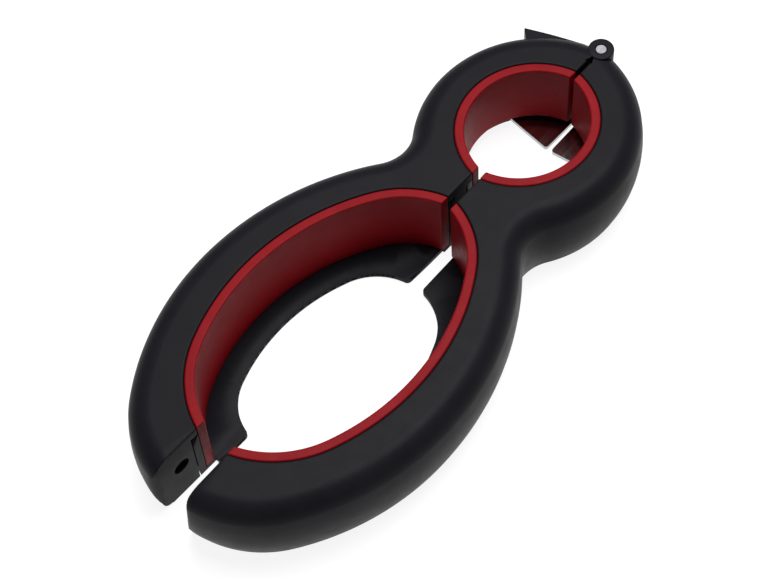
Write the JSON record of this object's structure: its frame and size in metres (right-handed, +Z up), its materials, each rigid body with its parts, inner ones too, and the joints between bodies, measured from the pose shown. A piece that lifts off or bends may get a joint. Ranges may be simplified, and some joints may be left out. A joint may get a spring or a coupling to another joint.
{
  "type": "jar_opener",
  "caption": "Hinged two-jaw jar and bottle opener in black plastic with red soft liners, a lid flange, steel cap plates and a seal-lifting claw.",
  "frame": {"origin": "centre of the bounding box on the resting plane, with the jaws in the stored pose", "axes": "+X from the hinge to the jaw tips, +Y towards the near jaw, +Z up out of the rings"},
  "size_m": [0.1832, 0.0872, 0.026],
  "materials": {
    "black_plastic": "fine satin texture",
    "red_liner": "smooth soft rubber",
    "steel": "stamped sheet",
    "fastener_steel": "plated",
    "pin_steel": "plain pin end"
  },
  "bodies": {
    "near_jaw": {"near_shell": "black_plastic", "near_base": "black_plastic", "near_large_liner": "red_liner", "near_small_liner": "red_liner", "near_cap_plate": "steel", "near_base_screws": "fastener_steel", "near_plate_rivets": "fastener_steel"},
    "far_jaw": {"far_shell": "black_plastic", "far_base": "black_plastic", "far_large_liner": "red_liner", "far_small_liner": "red_liner", "far_cap_plate": "steel", "far_base_screws": "fastener_steel", "far_plate_rivets": "fastener_steel", "hinge_pin": "pin_steel"}
  },
  "joints": [
    {"name": "jaw_hinge", "type": "hinge", "parent": "near_jaw", "child": "far_jaw", "pos_m": [-0.0879, 0, 0.013], "axis": [0, 0, -1], "range_deg": [-1.65, 60]}
  ]
}
